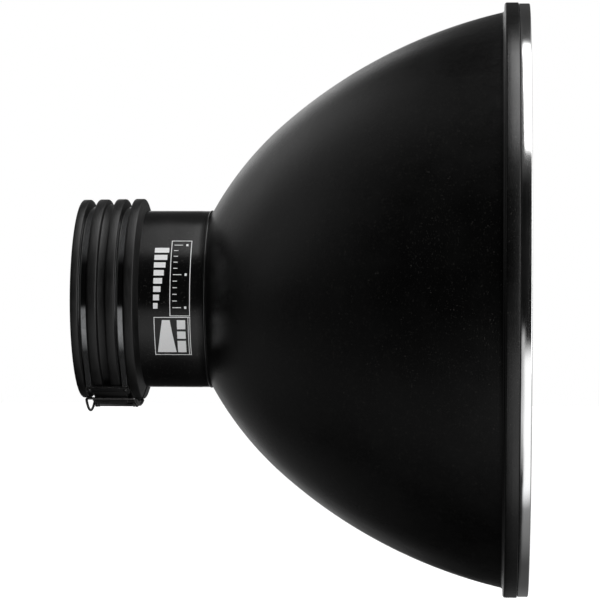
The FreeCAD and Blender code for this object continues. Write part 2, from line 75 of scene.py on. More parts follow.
RIM = shell_high.z
LIP = liner_high.z
NECK_WALL = 0.7 * MM
SHELL_WALL = 1.2 * MM
LINER_WALL = 0.8 * MM
LINER_GAP = 0.3 * MM
NECK = 51.3 * MM
GRIP = 50.0 * MM

# The bowl's outline is two tangent arcs, whose slopes are degrees from the axis.
BOWL_START = (neck_high.x + 1.26 * MM, NECK + 0.85 * MM)
BOWL_SLOPE = 60.3
REAR_CURVE = 190.5 * MM
JOIN_SLOPE = 40.94
FRONT_CURVE = 290.3 * MM
RIM_SLOPE = 12.7
LINER_SLOPE = 10.07


def sine(degrees):
    return math.sin(math.radians(degrees))


def cosine(degrees):
    return math.cos(math.radians(degrees))


def bowl_place(inset, slope):
    """(along, radius) on the bowl's outline, moved in from its outer face by inset."""
    along = BOWL_START[0] + REAR_CURVE * sine(BOWL_SLOPE)
    up = BOWL_START[1] - REAR_CURVE * cosine(BOWL_SLOPE)
    curve = REAR_CURVE
    if slope < JOIN_SLOPE:
        along -= (REAR_CURVE - FRONT_CURVE) * sine(JOIN_SLOPE)
        up += (REAR_CURVE - FRONT_CURVE) * cosine(JOIN_SLOPE)
        curve = FRONT_CURVE
    return along - (curve - inset) * sine(slope), up + (curve - inset) * cosine(slope)


def bowl_run(inset, first, last, count):
    """Points on the bowl's outline between two slopes."""
    slopes = [first + (last - first) * step / count for step in range(count + 1)]
    return [(*bowl_place(inset, slope), 0) for slope in slopes]


# ------------------------------------------------------------------------- mesh helpers

def rounded(corners, steps=4):
    """An outline whose corners (across, up, fillet) are replaced by arcs of their fillet."""
    points = []
    for number, (across, up, fillet) in enumerate(corners):
        corner = Vector((across, up))
        before = Vector(corners[number - 1][:2]) - corner
        after = Vector(corners[(number + 1) % len(corners)][:2]) - corner
        if fillet <= 0:
            points.append(corner)
            continue
        half = before.angle(after) / 2
        reach = min(fillet / math.tan(half), before.length / 2, after.length / 2)
        radius = reach * math.tan(half)
        towards = (before.normalized() + after.normalized()).normalized()
        middle = corner + towards * radius / math.sin(half)
        start = corner + before.normalized() * reach - middle
        turn = start.angle_signed(corner + after.normalized() * reach - middle)
        for step in range(steps + 1):
            angle = -turn * step / steps
            points.append(middle + Vector((
                start.x * math.cos(angle) - start.y * math.sin(angle),
                start.x * math.sin(angle) + start.y * math.cos(angle),
            )))
    return points


def on_axis(along, radius, bearing):
    """A point at a distance along the axis, a radius and a bearing in degrees."""
    return Vector((along, -radius * sine(bearing), -radius * cosine(bearing)))


def loft(rings, closed):
    """Faces between rings of equal length, joined end to start or capped."""
    size = len(rings[0])
    verts = [point for ring in rings for point in ring]
    faces = []
    for ring in range(len(rings) if closed else len(rings) - 1):
        here = ring * size
        there = (ring + 1) % len(rings) * size
        for side in range(size):
            ahead = (side + 1) % size
            faces.append((here + side, here + ahead, there + ahead, there + side))
    if not closed:
        faces.append(tuple(range(size)))
        faces.append(tuple(len(verts) - size + side for side in range(size)))
    return verts, faces


def turned(profile, turns):
    """A closed (along, radius) profile turned once round the axis."""
    bearings = [360 * turn / turns for turn in range(turns)]
    return loft([[on_axis(x, r, bearing) for x, r in profile] for bearing in bearings], True)


def joined(*parts):
    """Several (verts, faces) parts as one."""
    verts, faces = [], []
    for part_verts, part_faces in parts:
        shift = len(verts)
        verts.extend(part_verts)
        faces.extend(tuple(index + shift for index in face) for face in part_faces)
    return verts, faces


def piece(name, shape, material, body="reflector", replaces=(), sharp=38):
    """A mesh object of the object itself, riding on a body."""
    mesh = bpy.data.meshes.new(name)
    mesh.from_pydata([tuple(point) for point in shape[0]], [], shape[1])
    work = bmesh.new()
    work.from_mesh(mesh)
    bmesh.ops.recalc_face_normals(work, faces=work.faces)
    work.to_mesh(mesh)
    work.free()
    mesh.shade_smooth()
    mesh.set_sharp_from_angle(angle=math.radians(sharp))
    mesh.materials.append(material)
    made = bpy.data.objects.new(name, mesh)
    scene.collection.objects.link(made)
    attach(made, body)
    if replaces:
        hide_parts(*replaces)
    return made


# ------------------------------------------------------------------------- material helpers

class Nodes:
    """Builds a node tree."""

    def __init__(self, tree):
        self.tree = tree

    def add(self, kind, **settings):
        made = self.tree.nodes.new(kind)
        for key, value in settings.items():
            setattr(made, key, value)
        return made

    def feed(self, socket, value):
        if isinstance(value, bpy.types.NodeSocket):
            self.tree.links.new(value, socket)
        else:
            socket.default_value = value

    def math(self, operation, first, second=0.0, third=0.0):
        made = self.add("ShaderNodeMath", operation=operation)
        for socket, value in zip(made.inputs, (first, second, third)):
            self.feed(socket, value)
        return made.outputs[0]

    def between(self, value, low, high, to_low=0.0, to_high=1.0):
        made = self.add("ShaderNodeMapRange")
        for number, entry in enumerate((value, low, high, to_low, to_high)):
            self.feed(made.inputs[number], entry)
        return made.outputs[0]

    def tint(self, value, *stops):
        """A colour ramp of (position, grey or colour) stops."""
        made = self.add("ShaderNodeValToRGB")
        ramp = made.color_ramp
        while len(ramp.elements) < len(stops):
            ramp.elements.new(0.5)
        for element, (position, shade) in zip(ramp.elements, stops):
            element.position = position
            element.color = (*((shade,) * 3 if isinstance(shade, float) else shade), 1)
        self.feed(made.inputs[0], value)
        return made.outputs[0]

    def blend(self, share, first, second):
        made = self.add("ShaderNodeMix", data_type="RGBA")
        self.feed(made.inputs[0], share)
        for socket, value in ((made.inputs[6], first), (made.inputs[7], second)):
            self.feed(socket, value)
        return made.outputs[2]

    def bump(self, height, distance, below=None):
        made = self.add("ShaderNodeBump")
        made.inputs["Strength"].default_value = 1.0
        made.inputs["Distance"].default_value = distance
        self.feed(made.inputs["Height"], height)
        if below is not None:
            self.feed(made.inputs["Normal"], below)
        return made.outputs[0]


class Shader(Nodes):
    """A material's node tree, with its Principled shader ready."""

    def __init__(self, name):
        self.material = bpy.data.materials.new(name)
        self.material.use_nodes = True
        super().__init__(self.material.node_tree)
        self.surface = self.tree.nodes["Principled BSDF"]
        self.place = self.add("ShaderNodeTexCoord").outputs["Object"]

    def set(self, **values):
        for key, value in values.items():
            self.feed(self.surface.inputs[key.replace("_", " ")], value)

    def noise(self, per_mm, detail=2.0, roughness=0.5, place=None, stretch=(1, 1, 1)):
        mapping = self.add("ShaderNodeMapping")
        mapping.inputs["Scale"].default_value = [per_mm * axis / MM for axis in stretch]
        self.feed(mapping.inputs["Vector"], place or self.place)
        made = self.add("ShaderNodeTexNoise")
        made.inputs["Scale"].default_value = 1.0
        made.inputs["Detail"].default_value = detail
        made.inputs["Roughness"].default_value = roughness
        self.feed(made.inputs["Vector"], mapping.outputs[0])
        return made.outputs[0]

    def edge(self, reach):
        """1 along the sharp edges within a distance, 0 on flat faces."""
        made = self.add("ShaderNodeBevel", samples=8)
        made.inputs["Radius"].default_value = reach
        alike = self.add("ShaderNodeVectorMath", operation="DOT_PRODUCT")
        self.feed(alike.inputs[0], made.outputs[0])
        self.feed(alike.inputs[1], self.add("ShaderNodeNewGeometry").outputs["Normal"])
        return self.between(alike.outputs["Value"], 0.985, 0.90)

    def round_axis(self):
        """(along, radius, arc) coordinates of a turned surface, in metres."""
        split = self.add("ShaderNodeSeparateXYZ")
        self.feed(split.inputs[0], self.place)
        along, across, up = split.outputs
        squares = self.math("MULTIPLY_ADD", across, across, self.math("MULTIPLY", up, up))
        radius = self.math("SQRT", squares)
        angle = self.math("ARCTAN2", across, up)
        made = self.add("ShaderNodeCombineXYZ")
        for socket, value in zip(made.inputs, (along, radius, self.math("MULTIPLY", angle, RIM))):
            self.feed(socket, value)
        return made.outputs[0]


def coat(name, dark, light, rough, grain, spun):
    """Black stoved coat on spun metal: a fine orange peel over faint turning lines."""
    shader = Shader(name)
    lathe_place = shader.round_axis()
    peel = shader.noise(1.1, 3.0)
    fine = shader.noise(4.5, 2.0)
    cloud = shader.noise(0.035, 3.0, 0.6)
    lines = shader.noise(1.6, 3.0, 0.6, lathe_place, (1, 1, 0.01))
    specks = shader.noise(1.9, 0.0)
    dust = shader.between(specks, 0.76, 0.80)
    colour = shader.tint(cloud, (0.3, dark), (0.7, light))
    shader.set(
        Base_Color=shader.blend(shader.math("MULTIPLY", dust, 0.16), colour, (0.3, 0.29, 0.27, 1)),
        Roughness=shader.math("ADD", shader.between(cloud, 0.3, 0.7, rough - 0.03, rough + 0.04),
                              shader.between(fine, 0.3, 0.7, -0.03, 0.03)),
        Specular_IOR_Level=0.5,
    )
    relief = shader.bump(lines, spun)
    relief = shader.bump(peel, grain, relief)
    shader.set(Normal=shader.bump(fine, grain * 0.35, relief))
    return shader.material


def make_rubber():
    """Moulded black rubber, a little chalky, with a fine spark-eroded grain."""
    shader = Shader("moulded_rubber")
    lathe_place = shader.round_axis()
    grain = shader.noise(5.5, 3.0, 0.6)
    bloom = shader.noise(0.11, 4.0, 0.65)
    drag = shader.noise(0.7, 3.0, 0.6, lathe_place, (1, 1, 0.05))
    handled = shader.math("MULTIPLY", bloom, shader.between(drag, 0.35, 0.7, 0.6, 1.3))
    colour = shader.tint(handled, (0.25, 0.0012), (0.5, 0.0024), (0.75, 0.0050))
    shader.set(
        Base_Color=colour,
        Roughness=shader.between(handled, 0.2, 0.8, 0.36, 0.50),
        Specular_IOR_Level=0.42,
    )
    relief = shader.bump(drag, 0.00004)
    shader.set(Normal=shader.bump(grain, 0.00003, relief))
    return shader.material


def make_strip_steel():
    """Cold-rolled steel strip with lengthwise rolling lines and a few dark stains."""
    shader = Shader("rolled_steel_strip")
    lathe_place = shader.round_axis()
    rolling = shader.noise(9.0, 3.0, 0.65, lathe_place, (1, 1, 0.012))
    stain = shader.noise(0.25, 4.0, 0.6)
    metal = shader.tint(rolling, (0.3, (0.22, 0.224, 0.23)), (0.7, (0.42, 0.424, 0.43)))
    shader.set(
        Base_Color=shader.blend(
            shader.between(stain, 0.55, 0.75, 0.0, 0.55), metal, (0.12, 0.11, 0.10, 1)),
        Metallic=1.0,
        Roughness=shader.between(rolling, 0.3, 0.7, 0.07, 0.13),
        Normal=shader.bump(rolling, 0.0000012),
    )
    return shader.material


def make_bright_aluminium():
    """Anodised aluminium, turned on the lathe, with faint ripples left by the spinning roller."""
    shader = Shader("bright_aluminium")
    lathe_place = shader.round_axis()
    turning = shader.noise(7.0, 3.0, 0.6, lathe_place, (1, 1, 0.004))
    ripple = shader.noise(0.06, 2.0, 0.5, lathe_place, (1, 1, 0.35))
    smear = shader.noise(0.03, 3.0, 0.6)
    shader.set(
        Base_Color=shader.tint(smear, (0.3, (0.88, 0.885, 0.89)), (0.7, (0.93, 0.93, 0.925))),
        Metallic=1.0,
        Roughness=shader.math("ADD", shader.between(turning, 0.3, 0.7, 0.06, 0.13),
                              shader.between(smear, 0.4, 0.7, 0.0, 0.03)),
    )
    relief = shader.bump(ripple, 0.0002)
    shader.set(Normal=shader.bump(turning, 0.000004, relief))
    return shader.material


def make_latch_coat():
    """Blackened pressed steel, worn to bare metal along its edges."""
    shader = Shader("worn_black_steel")
    patch = shader.noise(1.2, 4.0, 0.65)
    scratch = shader.noise(1.0, 3.0, 0.6, stretch=(0.25, 3, 3))
    wear = shader.math("MULTIPLY", shader.edge(0.25 * MM),
                       shader.between(patch, 0.40, 0.62, 0.15, 0.9))
    scuffs = shader.math("MULTIPLY", shader.between(scratch, 0.68, 0.74),
                         shader.between(patch, 0.5, 0.65))
    bare = shader.math("MAXIMUM", wear, shader.math("MULTIPLY", scuffs, 0.2))
    black = shader.tint(patch, (0.3, 0.0025), (0.7, 0.0055))
    shader.set(
        Base_Color=shader.blend(bare, black, (0.34, 0.335, 0.33, 1)),
        Metallic=bare,
        Roughness=shader.between(patch, 0.3, 0.7, 0.26, 0.40),
        Normal=shader.bump(shader.noise(3.0, 2.0), 0.00002),
    )
    return shader.material


def make_wire_steel():
    """Drawn spring wire with a dark oil finish."""
    shader = Shader("drawn_spring_wire")
    oil = shader.noise(0.8, 3.0, 0.6)
    shader.set(
        Base_Color=shader.tint(oil, (0.3, (0.05, 0.05, 0.052)), (0.7, (0.16, 0.155, 0.15))),
        Metallic=1.0,
        Roughness=shader.between(oil, 0.3, 0.7, 0.26, 0.42),
        Normal=shader.bump(shader.noise(6.0, 2.0), 0.00001),
    )
    return shader.material


def make_rivet_steel():
    """Plain steel, darkened by oil and handling."""
    shader = Shader("formed_steel")
    dull = shader.noise(1.5, 3.0, 0.6)
    shader.set(
        Base_Color=shader.tint(dull, (0.3, (0.035, 0.035, 0.036)), (0.7, (0.10, 0.10, 0.102))),
        Metallic=1.0,
        Roughness=shader.between(dull, 0.3, 0.7, 0.26, 0.42),
        Normal=shader.bump(shader.noise(2.5, 2.0), 0.00002),
    )
    return shader.material


def make_ink():
    """Pale screen-printed ink, slightly mottled."""
    shader = Shader("printed_ink")
    mottle = shader.noise(2.2, 3.0, 0.6)
    shader.set(
        Base_Color=shader.tint(mottle, (0.3, (0.84, 0.845, 0.85)), (0.7, (0.93, 0.93, 0.93))),
        Roughness=shader.between(mottle, 0.3, 0.7, 0.38, 0.55),
        Normal=shader.bump(shader.noise(5.0, 2.0), 0.00001),
    )
    return shader.material


shell_coat = coat("spun_bowl_coat", 0.0011, 0.0021, 0.28, 0.000025, 0.00003)
neck_coat = coat("satin_neck_coat", 0.0011, 0.0020, 0.21, 0.000012, 0.000008)
rubber = make_rubber()
strip_steel = make_strip_steel()
aluminium = make_bright_aluminium()
latch_coat = make_latch_coat()
wire_steel = make_wire_steel()
rivet_steel = make_rivet_steel()
ink = make_ink()

# ------------------------------------------------------------------------- collar

GROOVE_PITCH = 10.4 * MM
FIRST_GROOVE = 7.1 * MM
BAND_FLOOR = 52.8 * MM
PLAIN_FLOOR = 55.0 * MM
RIB_STEP = 0.18 * MM
FIRST_RIB = 57.7 * MM
RIB_ROUND = 0.9 * MM
GROOVE_MOUTH = 2.5 * MM
GROOVE_FOOT = 2.1 * MM
SOCKET_DEPTH = 6.9 * MM
SEAT_CLEARANCE = 0.05 * MM
SPLIT_BEARING = 9.0
SPLIT_WIDTH = 4.0 * MM
COLLAR_TURNS = 300


def groove_centre(number):
    return FIRST_GROOVE + GROOVE_PITCH * number


def collar_profile():
    """The collar's section: four rounded ribs, two band grooves and one shallow plain groove."""
    front = collar_high.x
    rib = FIRST_RIB
    socket = front - SOCKET_DEPTH
    seat = NECK + SEAT_CLEARANCE
    corners = [(0, GRIP, 0.3 * MM), (0, rib, RIB_ROUND)]
    for number, floor in enumerate((BAND_FLOOR, PLAIN_FLOOR, BAND_FLOOR)):
        centre = groove_centre(number)
        corners.append((centre - GROOVE_MOUTH, rib, RIB_ROUND))
        corners.append((centre - GROOVE_FOOT, floor, 0.25 * MM))
        corners.append((centre + GROOVE_FOOT, floor, 0.25 * MM))
        rib += RIB_STEP
        corners.append((centre + GROOVE_MOUTH, rib, RIB_ROUND))
    corners.append((front - 2.2 * MM, rib, RIB_ROUND))
    corners.append((front, NECK + 0.5 * MM, 0.3 * MM))
    corners.append((front, seat, 0))
    corners.append((socket, seat, 0))
    corners.append((socket, GRIP, 0.2 * MM))
    return rounded(corners)


def make_collar():
    """The profile turned round from one face of the split to the other, which are parallel."""
    profile = collar_profile()
    rings = []
    for turn in range(COLLAR_TURNS + 1):
        ring = []
        for along, radius in profile:
            half = math.degrees(math.asin(SPLIT_WIDTH / 2 / radius))
            span = 360 - 2 * half
            bearing = SPLIT_BEARING + half + span * turn / COLLAR_TURNS
            ring.append(on_axis(along, radius, bearing))
        rings.append(ring)
    piece("rubber_collar", loft(rings, False), rubber,
          replaces=("collar_sleeve",))


# ------------------------------------------------------------------------- neck, bowl and liner

TURNS = 288
BEAD_PLACE = 3.1 * MM
BEAD_RADIUS = 0.9 * MM
WAIST_DEPTH = 0.07 * MM
WAIST_BACK = 6.5 * MM
WAIST_FRONT = 4.5 * MM


def make_neck():
    """Thin tube: a bead that keys into the collar, a faint waist and a rolled front edge."""
    back, front = neck_low.x, neck_high.x
    inner = NECK - NECK_WALL
    bead = back + BEAD_PLACE
    lip = 0.45 * MM
    profile = rounded([
        (back, inner, 0.2 * MM),
        (back, NECK, 0.2 * MM),
        (bead - BEAD_RADIUS, NECK, 0),
        (bead, NECK + BEAD_RADIUS, 0.5 * MM),
        (bead + BEAD_RADIUS, NECK, 0),
        (front - WAIST_BACK, NECK, 0),
        (front - WAIST_FRONT, NECK - WAIST_DEPTH, 0),
        (front - 2.2 * lip, NECK - WAIST_DEPTH, 0.3 * MM),
        (front - 1.6 * lip, NECK + 0.6 * lip, 0.3 * MM),
        (front, NECK + 0.6 * lip, lip),
        (front, inner, 0.2 * MM),
    ])
    piece("neck", turned(profile, TURNS), neck_coat, replaces=("neck_tube",))


RIM_STEP = 244.0 * MM


def make_bowl():
    """Spun bowl: a spigot in the neck, the two arcs, and a stepped band round the rim."""
    shoulder = neck_high.x + SEAT_CLEARANCE
    spigot = NECK - NECK_WALL - SEAT_CLEARANCE
    bore = spigot - SHELL_WALL
    front = shell_high.x
    corners = [
        (shell_low.x, bore, 0.2 * MM),
        (shell_low.x, spigot, 0.2 * MM),
        (shoulder, spigot, 0),
        (shoulder, NECK, 0.1 * MM),
        (shoulder + 0.6 * MM, NECK, 0.3 * MM),
    ]
    corners += bowl_run(0, BOWL_SLOPE, JOIN_SLOPE, 36)
    corners += bowl_run(0, JOIN_SLOPE - 0.2, RIM_SLOPE, 48)[:-1]
    foot = bowl_place(0, RIM_SLOPE)
    corners += [
        (*foot, 1.7 * MM),
        (RIM_STEP, RIM, 1.4 * MM),
        (front - 0.2 * MM, RIM, 0.35 * MM),
        (front, RIM - 0.5 * MM, 0.1 * MM),
        (front, RIM - SHELL_WALL, 0.2 * MM),
        (RIM_STEP + SHELL_WALL, RIM - SHELL_WALL, 0.3 * MM),
    ]
    corners += bowl_run(SHELL_WALL, RIM_SLOPE, JOIN_SLOPE, 30)
    corners += bowl_run(SHELL_WALL, JOIN_SLOPE + 0.2, BOWL_SLOPE, 24)
    corners.append((shoulder + 1.0 * MM, bore, 0.2 * MM))
    piece("bowl", turned(rounded(corners), TURNS), shell_coat,
          replaces=("bowl_shell",))


DIMPLES = 112
DIMPLE_SAMPLES = 4
DIMPLE_DEPTH = 0.35 * MM


def dimple_slopes(inset):
    """Slopes of the liner's rings, so that every row of dimples is as long as it is wide."""
    slope = BOWL_SLOPE - 1.3
    slopes = [slope]
    while slope > LINER_SLOPE + 1.4:
        radius = bowl_place(inset, slope)[1]
        curve = REAR_CURVE if slope > JOIN_SLOPE else FRONT_CURVE
        pitch = 2 * math.pi * radius / DIMPLES
        slope -= math.degrees(pitch / curve) / DIMPLE_SAMPLES
        slopes.append(slope)
    return slopes


def dimple_depth(row, column):
    """A shallow round dent in each cell of a brick pattern, 0 on its border."""
    course = row // DIMPLE_SAMPLES
    up = (row % DIMPLE_SAMPLES) / DIMPLE_SAMPLES * 2 - 1
    shift = DIMPLE_SAMPLES // 2 * (course % 2)
    across = ((column + shift) % DIMPLE_SAMPLES) / DIMPLE_SAMPLES * 2 - 1
    return DIMPLE_DEPTH * (1 - up * up) * (1 - across * across)


def make_liner():
    """Bright liner: a dimpled inside, a plain back, and a lip turned out over the rim."""
    outer = SHELL_WALL + LINER_GAP
    inner = outer + LINER_WALL
    front = liner_high.x
    lip_back = shell_high.x + 0.3 * MM
    slopes = dimple_slopes(inner)
    columns = DIMPLES * DIMPLE_SAMPLES
    lip = rounded([
        (*bowl_place(inner, LINER_SLOPE), 0),
        (front, bowl_place(inner, LINER_SLOPE)[1], 0.8 * MM),
        (front, LIP, 0.6 * MM),
        (lip_back, LIP, 0.2 * MM),
        (lip_back, LIP - LINER_WALL, 0.15 * MM),
        (front - LINER_WALL, LIP - LINER_WALL, 0.3 * MM),
        (*bowl_place(outer, LINER_SLOPE), 0),
    ])
    hidden = bowl_run(outer, LINER_SLOPE + 0.4, JOIN_SLOPE, 12)
    hidden += bowl_run(outer, JOIN_SLOPE + 0.4, BOWL_SLOPE, 9)
    plain = [bowl_place(inner, BOWL_SLOPE), *lip, *(entry[:2] for entry in hidden)]
    rings = []
    for column in range(columns):
        bearing = 360 * column / columns
        ring = [on_axis(*plain[0], bearing)]
        for row, slope in enumerate(slopes):
            edge = row == 0 or row > len(slopes) - 2
            depth = 0 if edge else dimple_depth(row, column)
            ring.append(on_axis(*bowl_place(inner - depth, slope), bearing))
        ring.extend(on_axis(*place, bearing) for place in plain[1:])
        rings.append(ring)
    piece("bright_liner", loft(rings, True), aluminium,
          replaces=("inner_reflector",))


def make_throat_ring():
    """Ring whose rounded lip holds the liner's rear edge."""
    under = SHELL_WALL + LINER_GAP + LINER_WALL + SEAT_CLEARANCE
    wall = 0.8 * MM
    bore = NECK - NECK_WALL - SHELL_WALL - 2 * SEAT_CLEARANCE
    lip = BOWL_SLOPE - 1.2
    rear = bowl_place(under, BOWL_SLOPE)[0]
    corners = [
        (ring_low.x, bore - wall, 0.2 * MM),
        (ring_low.x, bore, 0.2 * MM),
        (rear - 1.4 * MM, bore, 0),
    ]
    corners += bowl_run(under, BOWL_SLOPE, lip, 4)
    corners += bowl_run(under + wall, lip, BOWL_SLOPE, 4)
    corners.append((rear - 0.6 * MM, bore - wall, 0.3 * MM))
    piece("throat_retainer", turned(rounded(corners), 192), aluminium,
          replaces=("throat_ring",))


# ------------------------------------------------------------------------- bands, rivets and wire

BAND_WIDTH = 3.0 * MM
BAND_WALL = 0.6 * MM
PLATE = 58.6 * MM
NEAR_TAB = (25.2, 31.0)
FAR_TAB = (360 - 36.0, 360 - 24.0)


def band_stations():
    """(radius, bearing) places round a band: a raised tab, the run in the groove and a tab."""
    tab = PLATE - BAND_WALL
    turn = math.degrees(math.acos(BAND_FLOOR / tab))
    spans = (
        (*NEAR_TAB, tab, 8),
        (NEAR_TAB[1] + turn, FAR_TAB[0] - turn, BAND_FLOOR, 200),
        (*FAR_TAB, tab, 12),
    )
    stations = []
    for first, last, radius, count in spans:
        for step in range(count + 1):
            bearing = first + (last - first) * step / count
            stations.append((radius, bearing))
    return stations


def make_band(name, node, number):
    centre = groove_centre(number)
    half = BAND_WIDTH / 2
    edge = rounded([(-half, 0, 0.15 * MM), (half, 0, 0.15 * MM),
                    (half, BAND_WALL, 0.15 * MM), (-half, BAND_WALL, 0.15 * MM)], 2)
    rings = []
    for radius, bearing in band_stations():
        rings.append([on_axis(centre + across, radius + up, bearing) for across, up in edge])
    piece(name, loft(rings, False), strip_steel, replaces=(node,), sharp=20)


PLATE_WALL = 1.0 * MM
RIVET_SINK = 0.02 * MM
RIVET_SHANK = 0.8 * MM
RIVET_HEAD = 1.4 * MM
RIVET_RISE = 0.8 * MM
RIVET_SIDES = 24


def make_rivets(name, node, bearing):
    """Two domed rivets along a bearing, each turned about its own axis."""
    top = PLATE + PLATE_WALL
    seat = PLATE - BAND_WALL - RIVET_SINK
    section = []
    dome = 6
    for step in range(1, dome + 1):
        angle = 90 * step / dome
        section.append((seat - RIVET_RISE * 0.5 * cosine(angle), RIVET_HEAD * sine(angle)))
    section += [(seat, RIVET_SHANK), (top, RIVET_SHANK), (top, RIVET_HEAD)]
    for step in range(1, dome):
        angle = 90 * step / dome
        section.append((top + RIVET_RISE * sine(angle), RIVET_HEAD * cosine(angle)))
    out = on_axis(0, 1, bearing)
    side = Vector((1, 0, 0))
    other = out.cross(side)
    turns = [360 * number / RIVET_SIDES for number in range(RIVET_SIDES)]
    parts = []
    for groove in (0, 2):
        foot = Vector((groove_centre(groove), 0, 0))
        rings = []
        for height, radius in section:
            rings.append([
                foot + out * height + (side * cosine(turn) + other * sine(turn)) * radius
                for turn in turns
            ])
        parts.append(loft(rings, False))
    piece(name, joined(*parts), latch_coat, replaces=(node,), sharp=50)


# ------------------------------------------------------------------------- printing on the neck

INK_RISE = 0.05 * MM
INK_SINK = 0.03 * MM


def printed(stations):
    """A thin patch of ink: stations are (degrees above -Y, back, front) along its length."""
    rings = []
    for angle, back, front in stations:
        bearing = 90 + angle
        rings.append([
            on_axis(back, NECK - INK_SINK, bearing),
            on_axis(front, NECK - INK_SINK, bearing),
            on_axis(front, NECK + INK_RISE, bearing),
            on_axis(back, NECK + INK_RISE, bearing),
        ])
    return loft(rings, False)


def bar(back, front, low, high):
    """A rectangle of ink, in millimetres along and degrees round."""
    steps = max(1, math.ceil(abs(high - low)))
    return printed([(low + (high - low) * step / steps, back * MM, front * MM)
                    for step in range(steps + 1)])


def frame_lines(back, front, low, high, wide, tall):
    """Four bars that meet at their corners."""
    return [
        bar(back, back + wide, low, high),
        bar(front - wide, front, low, high),
        bar(back + wide, front - wide, low, low + tall),
        bar(back + wide, front - wide, high - tall, high),
    ]


def make_printing():
    """A beam-spread scale and a plain pictogram of a lamp's beam."""
    line = 0.42
    line_turn = 0.47
    parts = frame_lines(55.9, 67.5, -11.0, 40.1, line, line_turn)
    for tick in range(11):
        angle = -5.5 + 4.2 * tick
        long_tick = tick % 5 == 0
        parts.append(bar(57.6, 62.4 if long_tick else 60.0, angle - 0.25, angle + 0.25))
    for angle in (-5.5, 15.5, 36.5):
        parts.append(bar(64.2, 65.5, angle - 0.8, angle + 0.8))
    parts += frame_lines(46.8, 67.5, -38.2, -11.5, line, line_turn)
    steps = 22
    beam = []
    for step in range(steps + 1):
        share = step / steps
        beam.append((-36.0 + 22.5 * share, (48.3 + 3.2 * share) * MM, (59.1 - 3.2 * share) * MM))
    parts.append(printed(beam))
    parts.append(bar(59.9, 64.7, -36.0, -27.5))
    parts.append(bar(59.9, 64.7, -26.0, -21.0))
    parts.append(bar(59.9, 64.7, -19.5, -13.5))
    parts.append(bar(66.1, 66.5, -38.2, -11.5))
    for number in range(8):
        low = -6.2 + 5.275 * number
        parts.append(bar(46.6, 49.2 + 0.8 * number, low, low + 3.6))
    piece("neck_printing", joined(*parts), ink)


make_collar()
make_neck()
make_bowl()
make_liner()
make_throat_ring()
make_band("rear_strip", "rear_band", 0)
make_band("front_strip", "front_band", 2)
make_rivets("base_rivet_pair", "base_rivets", -29.5)
make_rivets("catch_rivet_pair", "catch_rivets", 28.0)
make_printing()


WELD_REACH = 0.01 * MM
FLAT_DEGREES = 0.5
EDGE_DEGREES = 40


def dress(node, material, width=0.12 * MM):
    """Gives a CAD node its material and broken edges, through modifiers only."""
    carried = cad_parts[node]
    carried.data.materials.clear()
    carried.data.materials.append(material)
    weld = carried.modifiers.new("weld", "WELD")
    weld.merge_threshold = WELD_REACH
    flat = carried.modifiers.new("flat", "DECIMATE")
    flat.decimate_type = "DISSOLVE"
    flat.angle_limit = math.radians(FLAT_DEGREES)
    edge = carried.modifiers.new("edge", "BEVEL")
    edge.width = width
    edge.segments = 2
    edge.limit_method = "ANGLE"
    edge.angle_limit = math.radians(EDGE_DEGREES)
    edge.harden_normals = True


dress("latch_base", latch_coat)
dress("catch_plate", latch_coat)
dress("latch_lever", latch_coat)
dress("lever_pin", rivet_steel, 0.08 * MM)
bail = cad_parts["latch_bail"]
bail.data.materials.clear()
bail.data.materials.append(wire_steel)

# ------------------------------------------------------------------------- camera, floor and light

CAMERA_PLACE = Vector((0.2358, -1.600, 0.0))
CAMERA_TARGET = Vector((0.1262, 0.0, -0.00037))
CAMERA_ROLL = 0.2
FOCAL_MM = 165.7
SENSOR_MM = 36.0

camera_data = bpy.data.cameras.new("camera")
camera_data.lens = FOCAL_MM
camera_data.sensor_width = SENSOR_MM
camera_data.clip_start = 0.05
camera_data.clip_end = 50.0
camera = bpy.data.objects.new("camera", camera_data)
scene.collection.objects.link(camera)
camera.location = CAMERA_PLACE
camera.rotation_mode = "QUATERNION"
aim = (CAMERA_TARGET - CAMERA_PLACE).to_track_quat("-Z", "Y")
camera.rotation_quaternion = aim @ Quaternion((0, 0, 1), math.radians(CAMERA_ROLL))
scene.camera = camera
scene.view_settings.view_transform = "Standard"


FLOOR_HALF = 6.0
FLOOR_DROP = 0.12


def make_floor():
    """A wide pale plane below the object, clear from below, seen only by the camera."""
    half = FLOOR_HALF
    height = cad_low.z - FLOOR_DROP
    mesh = bpy.data.meshes.new("floor")
    mesh.from_pydata([(-half, -half, height), (half, -half, height), (half, half, height),
                      (-half, half, height)], [], [(0, 1, 2, 3)])
    shader = Shader("pale_floor")
    cloud = shader.noise(0.002, 2.0)
    shader.set(
        Base_Color=shader.tint(cloud, (0.3, 0.88), (0.7, 0.90)),
        Roughness=1.0,
        Specular_IOR_Level=0.0,
        Emission_Color=(1, 1, 1, 1),
        Emission_Strength=0.35,
    )
    clear = shader.add("ShaderNodeBsdfTransparent")
    under = shader.add("ShaderNodeNewGeometry").outputs["Backfacing"]
    mixed = shader.add("ShaderNodeMixShader")
    shader.feed(mixed.inputs[0], under)
    shader.feed(mixed.inputs[1], shader.surface.outputs[0])
    shader.feed(mixed.inputs[2], clear.outputs[0])
    shader.feed(shader.tree.nodes["Material Output"].inputs[0], mixed.outputs[0])
    mesh.materials.append(shader.material)
    floor = bpy.data.objects.new("floor", mesh)
    scene.collection.objects.link(floor)
    floor.visible_glossy = False
    floor.visible_diffuse = False
    floor.visible_shadow = False


